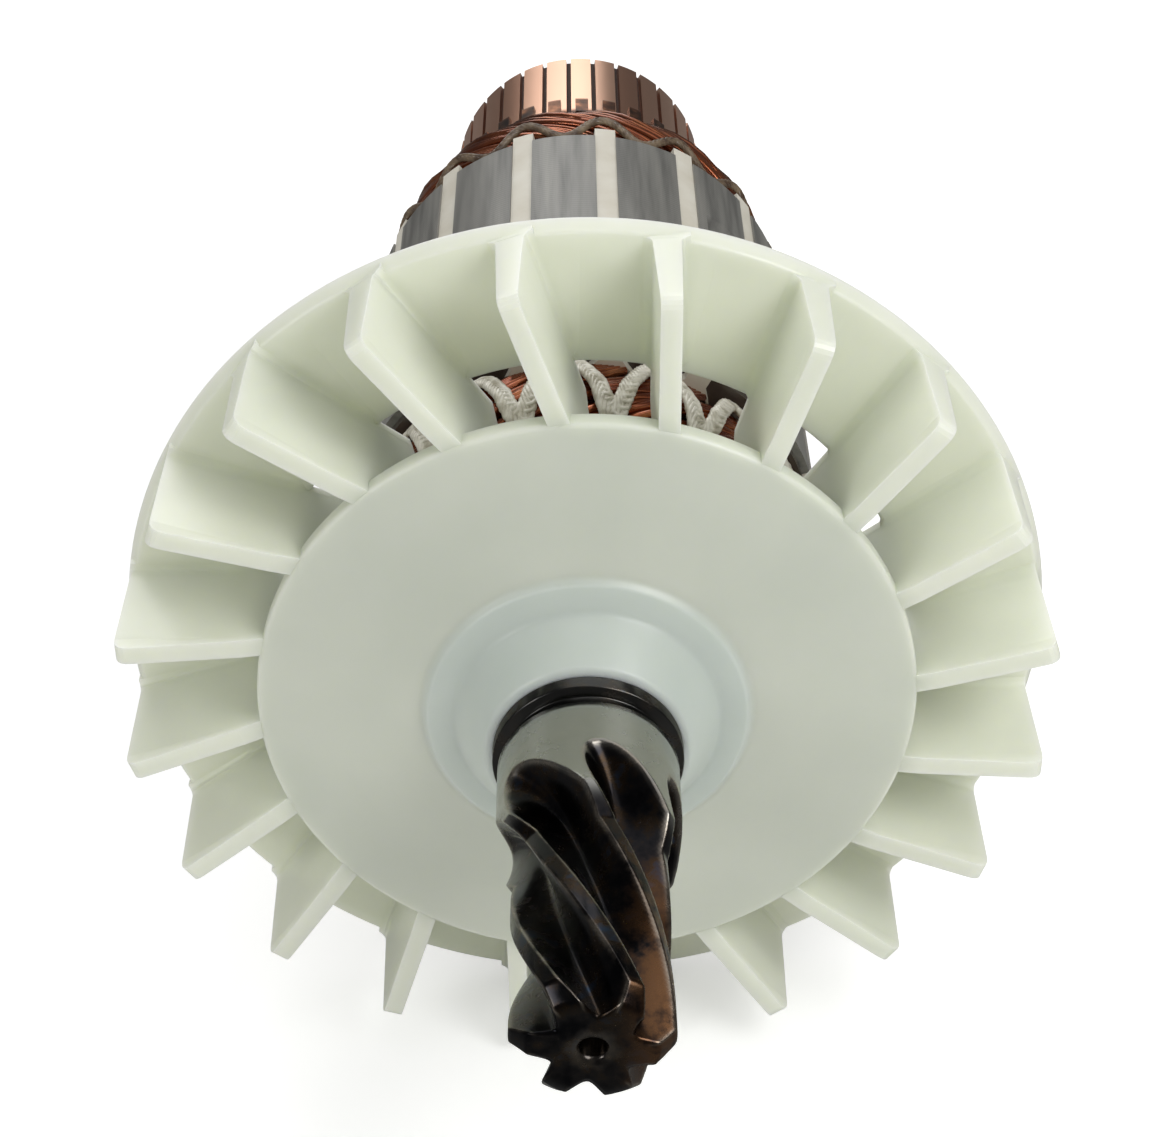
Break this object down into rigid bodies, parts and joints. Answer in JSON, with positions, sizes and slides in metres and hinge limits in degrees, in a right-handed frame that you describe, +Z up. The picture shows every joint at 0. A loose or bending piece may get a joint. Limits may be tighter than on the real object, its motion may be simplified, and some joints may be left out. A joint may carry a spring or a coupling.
{
  "type": "motor armature",
  "caption": "Armature of a universal motor: shaft with helical pinion, radial fan, wound laminated core and hook commutator.",
  "frame": {"origin": "on the shaft axis at the rear edge of the front bearing journal", "axes": "-Y along the shaft towards the pinion, +X right and +Z up when the pinion end is faced"},
  "size_m": [0.0916, 0.185, 0.0916],
  "materials": {
    "shaft_steel": "ground journals, blackened pinion",
    "sleeve_resin": "glass filled resin",
    "fan_nylon": "translucent moulded nylon",
    "core_steel": "varnished steel laminations",
    "plate_fibre": "pressed fibre",
    "magnet_wire": "enamelled copper wire",
    "slot_paper": "insulating paper",
    "slot_wedge": "pressed insulating strip",
    "lacing_cord": "varnished braided cord",
    "hub_resin": "phenolic moulding",
    "bush_steel": "turned",
    "commutator_copper": "turned copper"
  },
  "bodies": {
    "root": {"shaft": "shaft_steel", "shaft_sleeve": "sleeve_resin", "fan": "fan_nylon", "core": "core_steel", "end_plate_front": "plate_fibre", "end_plate_rear": "plate_fibre", "winding": "magnet_wire", "slot_liners": "slot_paper", "lacing_front": "lacing_cord", "lacing_rear": "lacing_cord", "commutator_hub": "hub_resin", "commutator_bush": "bush_steel", "slot_wedge_01": "slot_wedge", "slot_wedge_02": "slot_wedge", "slot_wedge_03": "slot_wedge", "slot_wedge_04": "slot_wedge", "slot_wedge_05": "slot_wedge", "slot_wedge_06": "slot_wedge", "slot_wedge_07": "slot_wedge", "slot_wedge_08": "slot_wedge", "slot_wedge_09": "slot_wedge", "slot_wedge_10": "slot_wedge", "slot_wedge_11": "slot_wedge", "slot_wedge_12": "slot_wedge", "slot_wedge_13": "slot_wedge", "slot_wedge_14": "slot_wedge", "slot_wedge_15": "slot_wedge", "slot_wedge_16": "slot_wedge", "commutator_bar_01": "commutator_copper", "commutator_bar_02": "commutator_copper", "commutator_bar_03": "commutator_copper", "commutator_bar_04": "commutator_copper", "commutator_bar_05": "commutator_copper", "commutator_bar_06": "commutator_copper", "commutator_bar_07": "commutator_copper", "commutator_bar_08": "commutator_copper", "commutator_bar_09": "commutator_copper", "commutator_bar_10": "commutator_copper", "commutator_bar_11": "commutator_copper", "commutator_bar_12": "commutator_copper", "commutator_bar_13": "commutator_copper", "commutator_bar_14": "commutator_copper", "commutator_bar_15": "commutator_copper", "commutator_bar_16": "commutator_copper", "commutator_bar_17": "commutator_copper", "commutator_bar_18": "commutator_copper", "commutator_bar_19": "commutator_copper", "commutator_bar_20": "commutator_copper", "commutator_bar_21": "commutator_copper", "commutator_bar_22": "commutator_copper", "commutator_bar_23": "commutator_copper", "commutator_bar_24": "commutator_copper", "commutator_bar_25": "commutator_copper", "commutator_bar_26": "commutator_copper", "commutator_bar_27": "commutator_copper", "commutator_bar_28": "commutator_copper", "commutator_bar_29": "commutator_copper", "commutator_bar_30": "commutator_copper", "commutator_bar_31": "commutator_copper", "commutator_bar_32": "commutator_copper"}
  },
  "joints": []
}
